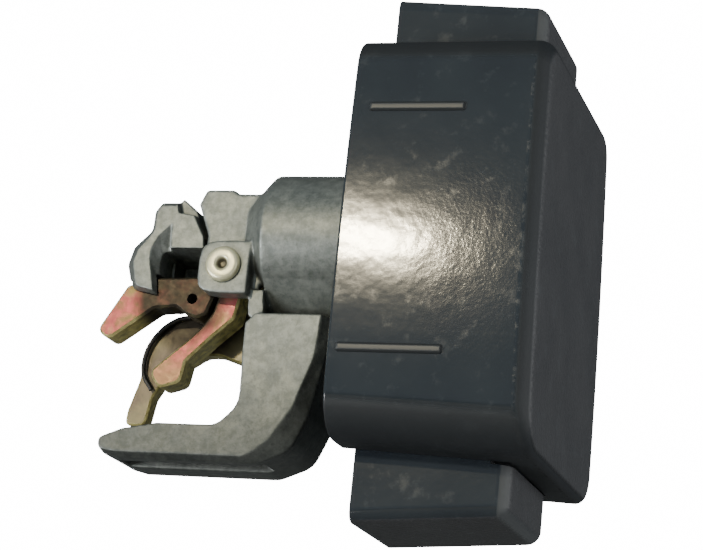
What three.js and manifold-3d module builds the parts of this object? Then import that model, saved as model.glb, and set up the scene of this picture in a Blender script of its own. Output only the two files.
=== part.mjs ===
// Push-button compartment latch: a plastic push pad slides on a guide bar and pushes a plunger
// through a die-cast lock body, and a steel fork claw turns on a rivet under the body's hook arm.
//
// Millimetres. +X points out of the panel towards the user, along the barrel axis; +Y runs along
// the rivet; +Z is up. The origin is where the barrel axis meets the panel seat, which is the
// plane of the front faces of the guide bar's two tabs.

import * as THREE from "three";
import { mergeVertices } from "three/addons/utils/BufferGeometryUtils.js";
import Module from "manifold-3d";

const wasm = await Module();
wasm.setup();

// ---------------------------------------------------------------- driving dimensions

const GAP = 0.3;                // running clearance between pieces
const STROKE = 2.5;             // travel of the push pad

// The lock's own stations run from the rear plane of the push pad, this far behind the seat.
const LOCK_X = -24.5;
const SEAT = -LOCK_X;           // panel seat, in the lock's stations

const PAD = {
  depth: 28.2, halfWidth: 22.9, top: 24.6, bottom: -33.2, corner: 4.6, edge: 2.6, wall: 2.2,
  lean: 1.1,                    // how far the bottom of the front stands out from its top
  sag: 1.3,                     // how far the underside slopes down towards the front
};
const BAR = {
  halfWidth: 11.4, rear: 2, neckFront: SEAT - 3, top: 34.4, bottom: -43.4,
  draft: 1.6, endWall: 7, corner: 2.0,
};
const BARREL = { radius: 10, rear: -16.2, front: 1.7, bore: 6.2, boreEnd: -12 };
const NECK = { radius: 8, front: 10 };
const RIVET = { x: -22, z: -5.8, shank: 2.0, headRadius: 2.65, head: 0.9 };
const PAWL_PIN = { x: -23.6, z: 3.0, radius: 1.1, halfLength: 4.2 };
const PAWL = { near: -2.3, far: 0.9 };                      // pawl, span in Y
const EAR = { inner: 4.7, outer: 8.0, radius: 3.9 };       // clevis ears, measured from the centre
const ARM = { halfWidth: 7.5, chamfer: 1.6 };
const FORK = { near: -4.4, far: 0.2, hub: 4.3 };           // thick steel claw, span in Y
const HOOK = { near: 1.6, far: 4.4, hub: 4.3 };            // thin steel claw, span in Y
const SPRING_HOLE = { x: -27.7, z: -10.1, radius: 0.8 };  // in the thick claw
const SLOT = { near: 1.3, far: 4.9 };                      // slot in the arm for the thin claw
const BUSH = { inner: 2.3, outer: 3.1 };
const PLUNGER = { radius: 3.0, hole: 3.3, rear: -16.4, front: 19.5 };

// ---------------------------------------------------------------- solids

// A solid for joining and cutting, from any closed three.js geometry.
function solid(geometry) {
  const bare = geometry.index ? geometry.toNonIndexed() : geometry.clone();
  bare.deleteAttribute("normal");
  bare.deleteAttribute("uv");
  const merged = mergeVertices(bare, 1e-4);
  return new wasm.Manifold(new wasm.Mesh({
    numProp: 3,
    vertProperties: new Float32Array(merged.attributes.position.array),
    triVerts: new Uint32Array(merged.index.array),
  }));
}

function union(...parts) {
  return parts.reduce((sum, part) => sum.add(part));
}

function cut(base, ...tools) {
  return tools.reduce((rest, tool) => rest.subtract(tool), base);
}

// The three.js geometry of a joined or cut solid.
function geometryOf(body) {
  const mesh = body.getMesh();
  const corners = new Float32Array(mesh.triVerts.length * 3);
  mesh.triVerts.forEach((vertex, i) => {
    for (let axis = 0; axis < 3; axis += 1) {
      corners[i * 3 + axis] = mesh.vertProperties[vertex * mesh.numProp + axis];
    }
  });
  const geometry = new THREE.BufferGeometry();
  geometry.setAttribute("position", new THREE.BufferAttribute(corners, 3));
  geometry.computeVertexNormals();
  return geometry;
}

// A closed outline through [a, b] corners; a third number rounds that corner with a radius.
function outline(corners) {
  const shape = new THREE.Shape();
  const count = corners.length;
  corners.forEach(([a, b, radius = 0], i) => {
    const here = new THREE.Vector2(a, b);
    if (radius === 0) {
      if (i === 0) shape.moveTo(a, b);
      else shape.lineTo(a, b);
      return;
    }
    const before = new THREE.Vector2(...corners[(i + count - 1) % count].slice(0, 2)).sub(here);
    const after = new THREE.Vector2(...corners[(i + 1) % count].slice(0, 2)).sub(here);
    const halfAngle = Math.acos(before.dot(after) / (before.length() * after.length())) / 2;
    const reach = Math.min(radius / Math.tan(halfAngle), before.length() * 0.48, after.length() * 0.48);
    const entry = here.clone().addScaledVector(before.normalize(), reach);
    const exit = here.clone().addScaledVector(after.normalize(), reach);
    if (i === 0) shape.moveTo(entry.x, entry.y);
    else shape.lineTo(entry.x, entry.y);
    shape.quadraticCurveTo(a, b, exit.x, exit.y);
  });
  shape.closePath();
  return shape;
}

// A plate whose outline is drawn in X and Z, filling y0 to y1.
function plate(corners, y0, y1, bevel = 0) {
  const options = { depth: y1 - y0 - 2 * bevel, curveSegments: 4, bevelEnabled: bevel > 0 };
  if (bevel > 0) {
    Object.assign(options, { bevelSize: bevel, bevelOffset: -bevel, bevelThickness: bevel });
    options.bevelSegments = 1;
  }
  const geometry = new THREE.ExtrudeGeometry(outline(corners), options);
  geometry.rotateX(Math.PI / 2);
  geometry.translate(0, y1 - bevel, 0);
  return solid(geometry);
}

// A prism whose outline is drawn in Y and Z, filling x0 to x1, with an optional bevel at both ends.
function prism(corners, x0, x1, bevel = 0, steps = 3) {
  const options = { depth: x1 - x0 - 2 * bevel, curveSegments: 5, bevelEnabled: bevel > 0 };
  if (bevel > 0) {
    Object.assign(options, { bevelSize: bevel, bevelOffset: -bevel, bevelThickness: bevel });
    options.bevelSegments = steps;
  }
  const geometry = new THREE.ExtrudeGeometry(outline(corners), options);
  geometry.rotateZ(Math.PI / 2);
  geometry.rotateY(Math.PI / 2);
  geometry.translate(x0 + bevel, 0, 0);
  return solid(geometry);
}

// A plate between two outlines of as many points, one at y0 and the other at y1.
function drafted(cornersAt0, cornersAt1, y0, y1) {
  const options = { depth: y1 - y0, curveSegments: 4, bevelEnabled: false };
  const shape = outline(cornersAt1);
  const from = shape.extractPoints(options.curveSegments).shape;
  const to = outline(cornersAt0).extractPoints(options.curveSegments).shape;
  const geometry = new THREE.ExtrudeGeometry(shape, options);
  const place = geometry.attributes.position;
  for (let i = 0; i < place.count; i += 1) {
    if (place.getZ(i) < options.depth / 2) continue;
    const index = from.findIndex((point) => (
      Math.hypot(point.x - place.getX(i), point.y - place.getY(i)) < 1e-5
    ));
    place.setXY(i, to[index].x, to[index].y);
  }
  geometry.rotateX(Math.PI / 2);
  geometry.translate(0, y1, 0);
  return solid(geometry);
}

function box(x0, x1, y0, y1, z0, z1) {
  const geometry = new THREE.BoxGeometry(x1 - x0, y1 - y0, z1 - z0);
  geometry.translate((x0 + x1) / 2, (y0 + y1) / 2, (z0 + z1) / 2);
  return solid(geometry);
}

// A turned solid about the barrel axis from [x, radius] pairs that start and end on the axis.
function turnedX(profile, sides = 32) {
  const points = profile.map(([x, radius]) => new THREE.Vector2(radius, x));
  const geometry = new THREE.LatheGeometry(points, sides);
  geometry.rotateZ(-Math.PI / 2);
  return solid(geometry);
}

// A turned solid about an axis along Y through (x, z), from [y, radius] pairs.
function turnedY(x, z, profile, sides = 24) {
  const points = profile.map(([y, radius]) => new THREE.Vector2(radius, y));
  const geometry = new THREE.LatheGeometry(points, sides);
  geometry.translate(x, 0, z);
  return solid(geometry);
}

function rodX(radius, x0, x1, sides = 32) {
  return turnedX([[x0, 0], [x0, radius], [x1, radius], [x1, 0]], sides);
}

function rodY(x, z, radius, y0, y1, sides = 24) {
  return turnedY(x, z, [[y0, 0], [y0, radius], [y1, radius], [y1, 0]], sides);
}

// A round wire that follows a curve.
function wire(points, radius, steps, sides = 6) {
  const curve = new THREE.CatmullRomCurve3(points.map((p) => new THREE.Vector3(...p)));
  const section = new THREE.Shape();
  section.absarc(0, 0, radius, 0, 2 * Math.PI);
  return new THREE.ExtrudeGeometry(section, {
    extrudePath: curve, steps, curveSegments: sides, bevelEnabled: false,
  });
}

// ---------------------------------------------------------------- colours

const paint = (color, roughness, metalness) => new THREE.MeshStandardMaterial({
  color, roughness, metalness,
});

const finish = {
  padPlastic: paint(0x333a44, 0.5, 0.0),
  barPlastic: paint(0x2f3540, 0.55, 0.0),
  zinc: paint(0x8b908c, 0.55, 0.8),
  steel: paint(0x9a8f55, 0.4, 0.9),
  rivet: paint(0xe2dfb0, 0.35, 0.8),
  spring: paint(0x26241f, 0.4, 0.9),
  bright: paint(0xa8aaa8, 0.35, 0.9),
  rubber: paint(0x1c1c1c, 0.9, 0.0),
};

// ---------------------------------------------------------------- lock body

// Outlines of the hook arm, down its inner side to the tip and back round the heel. The side faces
// are smaller than the middle, so that a wide chamfer runs along the outer edge.
const armInner = [
  [-16.4, -12.8, 0.6], [-17.9, -14.4, 0.8], [-17.7, -21], [-17.4, -26.6, 5.5], [-20.6, -29.6, 3],
  [-29.6, -29.6], [-35.0, -30.6], [-38.7, -32.1, 1.2],
];
const armFace = [
  ...armInner, [-38.4, -33.8, 1.2], [-35.4, -34.2, 1], [-15.8, -34.2, 3], [-12.4, -31.6, 4],
  [-9.2, -26.6, 6], [-6.7, -19.0, 4], [-6.3, -12.8],
];
const armMiddle = [
  ...armInner, [-38.4, -34.2, 1.2], [-35.4, -34.9, 1], [-14.4, -34.9, 4], [-9.4, -32.8, 4],
  [-7.2, -27.6, 6], [-5.5, -19.0, 4], [-5.3, -12.8],
];

function hookArm() {
  const side = ARM.halfWidth;
  const middle = ARM.halfWidth - ARM.chamfer;
  return union(
    drafted(armFace, armMiddle, -side, -middle),
    plate(armMiddle, -middle, middle),
    drafted(armMiddle, armFace, middle, side),
    prism([[-6.9, -7.2], [-1.8, -13.4], [1.8, -13.4], [6.9, -7.2]], -16.2, -5.5),
  );
}

// One clevis ear with its raised pad: round on the left of the rivet and square on the right.
function ear(side) {
  const { x, z } = RIVET;
  const corners = [
    [x + 3.9, z + 3.7, 0.4], [x + 1.0, z + 3.8], [x - 3.9, z + 3.5, 3.4], [x - 3.9, z - 3.9, 3.4],
    [x, z - 4.3], [x + 3.9, z - 4.3, 0.4],
  ];
  const [y0, y1] = side < 0 ? [-EAR.outer, -EAR.inner] : [EAR.inner, EAR.outer];
  return plate(corners, y0, y1);
}

function lockBodyCasting() {
  const barrel = turnedX([
    [-19.6, 0], [-19.6, 6.6], [BARREL.rear, BARREL.radius], [BARREL.front, BARREL.radius],
    [BARREL.front, NECK.radius], [NECK.front, NECK.radius], [NECK.front, 0],
  ], 72);
  const head = plate([
    [-26.9, 6.5, 0.8], [-27.9, 4.2], [-25.8, -1.0], [-16.8, -2.4], [-16.8, 5.9], [-21.7, 5.9],
    [-22.6, 6.5],
  ], -5.7, 5.7);
  const cheeks = plate([
    [-26.0, -1.0], [-25.6, -9.0, 3], [-22.0, -9.9], [-17.0, -9.9], [-17.0, -1.0],
  ], -5.7, 5.7);
  const lip = plate([
    [-18.4, -9.0], [-18.1, -12.9, 0.6], [-16.8, -13.6, 0.6], [-15.6, -12.4, 0.8], [-16.0, -9.0],
  ], -6.2, 6.2);
  return union(barrel, head, cheeks, ear(-1), ear(1), lip, hookArm());
}

function lockBody() {
  const { x, z } = RIVET;
  const bore = turnedX([
    [BARREL.boreEnd, 0], [BARREL.boreEnd, BARREL.bore], [NECK.front + 1, BARREL.bore],
    [NECK.front + 1, 0],
  ]);
  const plungerHole = rodX(PLUNGER.hole, -21, -11);
  const clawRoom = union(
    rodY(x, z, 6.1, -EAR.inner, EAR.inner, 32),
    box(-30, x, -EAR.inner, EAR.inner, z - 7, -2.0),
    box(-25, -17.2, -EAR.inner, EAR.inner, -16, z),
  );
  const pawlRoom = union(
    box(-30, -17.4, -2.6, 2.6, -3.0, 5.3),
    box(-20.5, -17.4, -3.4, 3.4, -3.4, 3.4),
  );
  const rivetHole = rodY(x, z, RIVET.shank + GAP, -9, 9);
  const pinHole = rodY(PAWL_PIN.x, PAWL_PIN.z, PAWL_PIN.radius + 0.05, -4.4, 4.4, 16);
  const sweepSlot = plate([
    [-20.0, -8.0], [-20.0, -20.5], [-14.2, -20.5, 4], [-12.4, -9.0],
  ], SLOT.near, SLOT.far);
  const legSlot = box(-36.6, -24.3, SLOT.near, SLOT.far, -33.4, -27);
  const pocket = plate([
    [-36.4, -34.2], [-36.4, -37], [-13.6, -37], [-13.6, -34.0], [-15.6, -32.4], [-34.6, -32.4],
  ], -4.2, 0.6);
  return cut(
    lockBodyCasting(), bore, plungerHole, clawRoom, pawlRoom, rivetHole, pinHole, sweepSlot,
    legSlot, pocket,
  );
}

// ---------------------------------------------------------------- rivet, bush and pins

function pivotRivet() {
  const { x, z, shank, headRadius, head } = RIVET;
  const face = -EAR.outer - 0.1;
  return turnedY(x, z, [
    [EAR.outer + 0.1, 0], [EAR.outer + 0.1, shank], [face, shank], [face, headRadius],
    [face - head * 0.55, headRadius], [face - head, headRadius - 0.5], [face - head, 0.85],
    [face - head * 0.35, 0.45], [face - head * 0.35, 0],
  ].reverse());
}

function rivetCollar() {
  const { x, z } = RIVET;
  const face = EAR.outer + 0.2;
  return turnedY(x, z, [[face, 0], [face, 3.2], [face + 0.8, 3.2], [face + 1.3, 2.4], [face + 1.3, 0]]);
}

function hubBush() {
  const { x, z } = RIVET;
  return cut(
    rodY(x, z, BUSH.outer, -4.5, 4.5),
    rodY(x, z, BUSH.inner, -5, 5),
  );
}

function pawlPin() {
  return rodY(PAWL_PIN.x, PAWL_PIN.z, PAWL_PIN.radius, -PAWL_PIN.halfLength, PAWL_PIN.halfLength, 16);
}

// ---------------------------------------------------------------- claws

// Thick claw: an upper finger that closes behind the striker and a lower prong that it pushes.
const fingerOutline = [
  [-22.0, -4.5], [-26.0, -6.7], [-33.5, -6.9], [-38.3, -8.2, 1], [-42.4, -15.2, 1.5],
  [-40.4, -16.6, 1.4], [-33.6, -11.6, 2], [-30.2, -11.3, 0.6], [-28.6, -12.4, 0.6],
  [-26.8, -13.0, 0.8], [-25.3, -12.4, 0.5], [-24.5, -9.9],
];
const prongOutline = [
  [-23.4, -9.0], [-24.3, -12.2], [-25.8, -14.4], [-27.9, -16.6], [-33.3, -21.4, 1.5],
  [-31.4, -23.8, 1.3], [-28.1, -22.8, 1.5], [-27.6, -19.6, 1], [-24.3, -16.2, 2], [-20.8, -13.0, 1],
  [-20.0, -9.0],
];

function ratchetTooth() {
  const { x, z } = RIVET;
  const at = (degrees, radius) => {
    const angle = THREE.MathUtils.degToRad(degrees);
    return [x + radius * Math.cos(angle), z + radius * Math.sin(angle)];
  };
  return plate([at(90, 4.0), at(104, 5.5), at(118, 5.5), at(126, 4.0)].reverse(), FORK.near, FORK.far);
}

function clawFork() {
  const { x, z } = RIVET;
  const blank = union(
    rodY(x, z, FORK.hub, FORK.near, FORK.far, 32),
    plate(fingerOutline, FORK.near, FORK.far, 0.35),
    plate(prongOutline, FORK.near, FORK.far, 0.35),
    ratchetTooth(),
  );
  const springHole = rodY(SPRING_HOLE.x, SPRING_HOLE.z, SPRING_HOLE.radius, -9, 9, 16);
  return cut(blank, rodY(x, z, BUSH.outer + GAP, -9, 9), springHole);
}

// Thin claw beside it: a curved plate with a long leg that reaches down to the hook arm.
const hookOutline = [
  [-18.3, -5.0], [-18.2, -12.0], [-18.9, -18.7, 1], [-21.9, -18.1], [-24.6, -17.2, 3],
  [-27.0, -17.2, 3], [-29.4, -18.8, 2], [-33.2, -21.5, 3], [-34.6, -24.0, 2], [-35.3, -28.3, 1.2],
  [-38.6, -28.3, 1.2], [-38.4, -26.0, 3], [-37.0, -21.2, 3], [-36.7, -16.2, 3], [-34.2, -12.9, 2],
  [-31.5, -11.3, 2], [-28.9, -10.7, 2], [-26.2, -8.6], [-26.0, -5.0],
];

function clawHook() {
  const { x, z } = RIVET;
  const blank = union(
    rodY(x, z, HOOK.hub, HOOK.near, HOOK.far, 32),
    plate(hookOutline, HOOK.near, HOOK.far, 0.3),
  );
  return cut(blank, rodY(x, z, BUSH.outer + GAP, -9, 9));
}

// Black wire spring: one turn round the hub, then along the thin claw to hook under the prong.
function clawSpring() {
  const { x, z } = RIVET;
  const y = (FORK.far + HOOK.near) / 2;
  const turn = [];
  for (let degrees = -60; degrees <= 190; degrees += 25) {
    const angle = THREE.MathUtils.degToRad(degrees);
    turn.push([x + 3.75 * Math.cos(angle), y, z + 3.75 * Math.sin(angle)]);
  }
  const leg = [
    [-26.6, y, -9.0], [-28.9, y, -11.3], [-31.7, y, -12.0], [-34.1, y, -13.7], [-36.0, y, -16.8],
    [-36.2, y, -20.4], [-34.6, y, -22.9],
  ];
  return wire([...turn, ...leg], 0.35, 40);
}

// ---------------------------------------------------------------- release lever

// Cast lever clipped over the root of the finger: a C-shaped wall round an open pocket, whose rim
// slopes in from a crease on the near face.
const leverOutline = [
  [-37.5, -9.1, 1.2], [-38.7, -5.0, 1.5], [-38.0, -2.3, 1.2], [-35.4, 0.4, 1.6], [-35.3, 3.4, 0.6],
  [-34.3, 4.8, 0.8], [-31.4, 4.8], [-31.0, 5.5, 0.3], [-28.6, 3.5], [-26.5, -1.0], [-26.3, -2.5],
  [-27.0, -5.6], [-29.6, -9.0, 1], [-33.4, -9.9, 1.2],
];
const leverFace = [
  [-36.4, -8.6, 1.2], [-37.3, -5.0, 1.5], [-36.7, -3.0, 1.2], [-34.5, -0.2, 1.6], [-34.4, 2.9, 0.6],
  [-33.8, 3.9, 0.8], [-31.4, 3.9], [-31.0, 4.6, 0.3], [-28.8, 3.1], [-26.5, -1.0], [-26.3, -2.5],
  [-27.0, -5.6], [-29.6, -9.0, 1], [-33.4, -9.3, 1.2],
];
const leverCrease = [
  [-31.7, 1.2], [-33.6, -0.7], [-34.6, -2.6], [-34.7, -4.4], [-34.0, -7.4], [-32.9, -12.0],
  [-25.0, -12.0], [-25.0, -2.7], [-31.6, -2.7],
];
const leverPocket = [
  [-31.9, -2.9], [-32.6, -3.0], [-33.3, -3.3], [-33.5, -4.6], [-33.3, -7.4], [-32.6, -12.0],
  [-25.0, -12.0], [-25.0, -2.8], [-31.6, -2.8],
];

function releaseLever() {
  const half = 5.9;
  const rimDepth = 1.6;
  const rim = drafted(leverCrease, leverPocket, -half, -half + rimDepth);
  const pocket = union(
    plate(leverPocket, -half + rimDepth - 0.1, FORK.far + GAP),
    box(-33.0, -25.0, -half + rimDepth, half - 1.2, -6.4, -2.9),
  );
  const peakNotch = plate([
    [-31.7, 6.4], [-30.9, 2.8], [-28.2, 2.4], [-26.4, 2.4], [-26.4, 6.4],
  ], -half - 1, -half + 1.6);
  const blank = union(
    drafted(leverFace, leverOutline, -half, -half + rimDepth),
    plate(leverOutline, -half + rimDepth - 0.02, half),
  );
  const forkSeat = plate([
    [-24.0, -6.3], [-33.5, -6.5], [-39.5, -7.8], [-42.0, -17.0], [-24.0, -17.0],
  ], FORK.near - GAP, FORK.far + GAP);
  const hookSeat = plate([
    [-24.0, -7.0], [-28.6, -10.2], [-32.0, -10.8], [-34.0, -12.5], [-24.0, -12.5],
  ], HOOK.near - GAP, half + 1);
  const springSeat = rodY(RIVET.x, RIVET.z, 4.9, FORK.far, half + 1, 32);
  return cut(blank, rim, pocket, peakNotch, forkSeat, hookSeat, springSeat);
}

// ---------------------------------------------------------------- pawl

function pawl() {
  const { x, z, radius } = PAWL_PIN;
  const arms = plate([
    [x - 1.4, z + 1.6, 1], [x - 2.4, z - 1.0], [x - 2.5, z - 3.8, 0.4], [x - 1.2, z - 3.8, 0.3],
    [x - 0.6, z - 2.0, 1], [x + 2.4, z - 2.2], [x + 3.6, z - 3.5, 0.4], [x + 4.2, z - 3.4, 0.4],
    [x + 4.2, z - 1.2, 1], [x + 1.2, z + 1.8, 1],
  ], PAWL.near, PAWL.far);
  const eye = rodY(x, z, 2.1, PAWL.near, PAWL.far);
  return cut(union(arms, eye), rodY(x, z, radius + GAP, -4, 4, 16));
}

// Two turns of fine wire round the pawl pin, with one end along the pawl's tail.
function pawlSpring() {
  const { x, z } = PAWL_PIN;
  const points = [];
  for (let degrees = -90; degrees <= 540; degrees += 45) {
    const angle = THREE.MathUtils.degToRad(degrees);
    const y = PAWL.far + 0.35 + (degrees + 90) * 0.0011;
    points.push([x + 1.7 * Math.cos(angle), y, z + 1.7 * Math.sin(angle)]);
  }
  points.push([x - 1.7, PAWL.far + 1.1, z - 1.5], [x - 1.6, PAWL.far + 1.1, z - 3.0]);
  return wire(points, 0.22, 32);
}

// ---------------------------------------------------------------- plunger and its spring

function plunger() {
  const { radius, rear, front } = PLUNGER;
  return turnedX([
    [rear, 0], [rear, 1.8], [rear + 1.2, radius], [front - 3, radius], [front - 3, 6.0],
    [front - 1, 6.0], [front - 1, 2.4], [front, 2.4], [front, 0],
  ], 24);
}

// Ring between the plunger's flange and the spring.
function springCup() {
  const back = PLUNGER.front - 3.8;
  return cut(rodX(5.8, back, back + 0.6), rodX(PLUNGER.radius + GAP, back - 1, back + 2));
}

function returnSpring() {
  const turns = 6;
  const perTurn = 9;
  const start = BARREL.boreEnd + 0.6;
  const end = PLUNGER.front - 4.4;
  const points = [];
  for (let i = 0; i <= turns * perTurn; i += 1) {
    const angle = (i / perTurn) * 2 * Math.PI;
    const x = start + (end - start) * (i / (turns * perTurn));
    points.push([x, 4.6 * Math.cos(angle), 4.6 * Math.sin(angle)]);
  }
  return wire(points, 0.45, turns * perTurn);
}

// ---------------------------------------------------------------- guide bar and its fixings

// One tab: its outer end tapers towards the front and has round corners and edges; its inner face
// follows the edge of the pad.
function tab(side) {
  const { rear, halfWidth, corner } = BAR;
  const end = side > 0 ? BAR.top : BAR.bottom;
  const inner = side > 0 ? PAD.top + GAP : PAD.bottom - GAP;
  const slice = (x, inset) => {
    const taper = BAR.draft * (x - rear) / (SEAT - rear);
    const tip = end - side * (taper + inset);
    const half = halfWidth - inset;
    const radius = Math.max(corner - inset, 0.2);
    const root = inner - side * 4;
    const corners = [[half, tip, radius], [-half, tip, radius], [-half, root], [half, root]];
    return prism(side > 0 ? corners : corners.reverse(), x - 0.02, x);
  };
  const rounding = [0, 18, 36, 54, 72, 90].map((degrees) => {
    const angle = THREE.MathUtils.degToRad(degrees);
    return slice(SEAT - corner * (1 - Math.sin(angle)), corner * (1 - Math.cos(angle)));
  });
  const block = wasm.Manifold.hull([slice(rear + 0.02, 0), ...rounding]);
  const slope = side > 0 ? 0 : PAD.sag / PAD.depth;
  const [back, front] = [rear - 1, SEAT + 1];
  const near = [[back, inner - slope * back], [front, inner - slope * front]];
  const far = near.map(([x, z]) => [x, z - side * 8]).reverse();
  return block.subtract(plate(side > 0 ? [...near, ...far].reverse() : [...near, ...far], -20, 20));
}

function guideBar() {
  const { rear, neckFront, halfWidth } = BAR;
  const spine = box(rear, neckFront, -halfWidth, halfWidth, PAD.bottom - 1.6, PAD.top + 1.6);
  const channel = box(
    rear + 2.6, neckFront + 1, -halfWidth + 2, halfWidth - 2, PAD.bottom + BAR.endWall, PAD.top - BAR.endWall,
  );
  const tabHollow = (z0, z1) => box(rear - 1, SEAT - 2.4, -halfWidth + 2.2, halfWidth - 2.2, z0, z1);
  const neckHole = rodX(NECK.radius + GAP, rear - 1, rear + 4);
  const sideWindow = box(rear + 4, neckFront + 1, -halfWidth - 1, halfWidth + 1, -14, 9);
  const screwHole = (z) => {
    const hole = solid(new THREE.CylinderGeometry(1.6, 1.6, 18, 16).rotateZ(Math.PI / 2));
    return hole.translate([rear + 1, 0, z]);
  };
  return cut(
    union(spine, tab(1), tab(-1)), channel, tabHollow(PAD.top - 2, BAR.top - 4.4),
    tabHollow(BAR.bottom + 4.4, PAD.bottom + 2), neckHole, sideWindow, screwHole(16), screwHole(-27),
  );
}

function barrelWasher() {
  const front = BAR.rear + 2.6;
  return cut(rodX(9.2, front + 0.1, front + 0.7), rodX(NECK.radius + GAP, front - 1, front + 2));
}

function barrelNut() {
  const back = BAR.rear + 3.4;
  const hex = new THREE.CylinderGeometry(10.6, 10.6, 3.2, 6).rotateZ(Math.PI / 2);
  hex.rotateX(Math.PI / 6);
  hex.translate(back + 1.6, 0, 0);
  const limit = box(back - 1, back + 5, -9.1, 9.1, -12, 12);
  return cut(solid(hex).intersect(limit), rodX(NECK.radius + GAP, back - 1, back + 5));
}

// Stop plate behind the bar and the screw that holds it; one above and one below the barrel.
function stopScrew(z) {
  const rear = BAR.rear;
  const shape = turnedX([
    [rear - 1.9, 0], [rear - 1.9, 1.6], [rear - 1.3, 2.6], [rear - 0.1, 2.6], [rear - 0.1, 1.3],
    [rear + 6, 1.3], [rear + 6.8, 0],
  ], 16);
  const recess = union(
    box(rear - 3, rear - 1.1, -1.5, 1.5, -0.3, 0.3),
    box(rear - 3, rear - 1.1, -0.3, 0.3, -1.5, 1.5),
  );
  return cut(shape, recess).translate([0, 0, z]);
}

// Rubber stop on the front of the bar, where the pad comes to rest when it is pressed.
function bumper(z) {
  const front = BAR.neckFront + 0.1;
  return box(front, front + 0.9, -5, 5, z - 1.6, z + 1.6);
}

// ---------------------------------------------------------------- push pad

function padSection(inset, crown) {
  const half = PAD.halfWidth - inset;
  const top = PAD.top - inset;
  const bottom = PAD.bottom + inset;
  const corner = Math.max(PAD.corner - inset, 1.0);
  const middle = (top + bottom) / 2;
  return [
    [half - crown, top, corner], [-half + crown, top, corner], [-half, middle, 900],
    [-half + crown, bottom, corner], [half - crown, bottom, corner], [half, middle, 900],
  ];
}

function sideRib(side, z, x0, x1) {
  const half = 0.55;
  const y = side * (PAD.halfWidth - 0.75);
  const bar = plate([
    [x0, z + half, half], [x0, z - half, half], [x1, z - half, half], [x1, z + half, half],
  ], y - 0.9, y + 0.9);
  return bar;
}

// Leans the pad's front out and lets its underside slope down, both growing towards the lower front.
function leaned(body) {
  const middle = (PAD.top + PAD.bottom) / 2;
  return body.warp((point) => {
    const outward = Math.max(point[0], 0) / PAD.depth;
    const below = (PAD.top - point[2]) / (PAD.top - PAD.bottom);
    const low = Math.max(middle - point[2], 0) / (middle - PAD.bottom);
    point[0] += PAD.lean * outward * below;
    point[2] -= PAD.sag * outward * low;
  });
}

function pushPad() {
  const { depth, wall, edge, top, bottom } = PAD;
  const outer = prism(padSection(0, 1.0), -edge, depth, edge).subtract(box(-9, 0, -40, 40, -60, 60));
  const inner = leaned(prism(padSection(wall, 1.0), -1, depth - 2.4));
  const notch = (z0, z1) => box(
    -1, BAR.neckFront + STROKE + GAP, -BAR.halfWidth - GAP, BAR.halfWidth + GAP, z0, z1,
  );
  const ribs = [-1, 1].flatMap((side) => [
    sideRib(side, 13.3, 2.6, 16.6), sideRib(side, -21.4, 1.2, 16.4),
  ]);
  const skin = leaned(union(outer, ...ribs));
  const shell = cut(skin, inner, notch(top - 4, top + 4), notch(bottom - 4, bottom + 4));
  const boss = cut(rodX(5.0, PLUNGER.front - 0.7, depth - 1.2, 24), rodX(2.7, 0, PLUNGER.front + GAP, 24));
  const rails = [-1, 1].flatMap((side) => [12, -24].map((z) => {
    const y = side * (BAR.halfWidth + GAP + 0.8);
    return box(1.0, depth - 1.2, y - 0.8, y + 0.8, z - 3, z + 3);
  }));
  return union(shell, boss, ...rails);
}

// Spring-steel clip on the pad's rail; its hook stops the pad on the back of the guide bar.
function stopClip(side) {
  const inner = side * (BAR.halfWidth + GAP + 1.9);
  const outer = side * (BAR.halfWidth + GAP + 2.5);
  const [y0, y1] = [Math.min(inner, outer), Math.max(inner, outer)];
  const back = BAR.rear - GAP;
  const strap = box(back - 0.6, 16, y0, y1, -19, -13);
  const toe = side * (BAR.halfWidth - 2.4);
  const hook = box(back - 0.6, back, Math.min(toe, outer), Math.max(toe, outer), -19, -13);
  return union(strap, hook);
}

// ---------------------------------------------------------------- assembly

const latch = new THREE.Group();
const lock = new THREE.Group();
lock.position.x = LOCK_X;
latch.add(lock);

function add(name, shape, material) {
  const geometry = shape.isBufferGeometry ? shape : geometryOf(shape);
  const mesh = new THREE.Mesh(geometry, material);
  mesh.name = name;
  lock.add(mesh);
}

add("lock_body", lockBody(), finish.zinc);
add("guide_bar", guideBar(), finish.barPlastic);
add("barrel_washer", barrelWasher(), finish.bright);
add("barrel_nut", barrelNut(), finish.bright);
add("stop_screw_upper", stopScrew(16), finish.bright);
add("stop_screw_lower", stopScrew(-27), finish.bright);
add("bumper_upper", bumper(18.4), finish.rubber);
add("bumper_lower", bumper(-28.6), finish.rubber);
add("pivot_rivet", pivotRivet(), finish.rivet);
add("rivet_collar", rivetCollar(), finish.rivet);
add("pawl_pin", pawlPin(), finish.bright);

add("push_pad", pushPad(), finish.padPlastic);
add("plunger", plunger(), finish.bright);
add("spring_cup", springCup(), finish.bright);
add("return_spring", returnSpring(), finish.bright);
add("stop_clip_near", stopClip(-1), finish.bright);
add("stop_clip_far", stopClip(1), finish.bright);

add("claw_fork", clawFork(), finish.steel);
add("claw_hook", clawHook(), finish.steel);
add("hub_bush", hubBush(), finish.bright);
add("claw_spring", clawSpring(), finish.spring);
add("release_lever", releaseLever(), finish.zinc);

add("pawl", pawl(), finish.bright);
add("pawl_spring", pawlSpring(), finish.spring);

export default latch;
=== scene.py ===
"""Looks of the push-button claw latch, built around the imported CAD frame.

Metres, +Z up, +X out of the panel, +Y along the pivot rivet. Sizes that follow the CAD model come
from the frame; the rest are named here in millimetres and turned into metres by mm() or MM.
"""
import math

import bmesh
import bpy
from mathutils import Matrix, Vector

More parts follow.
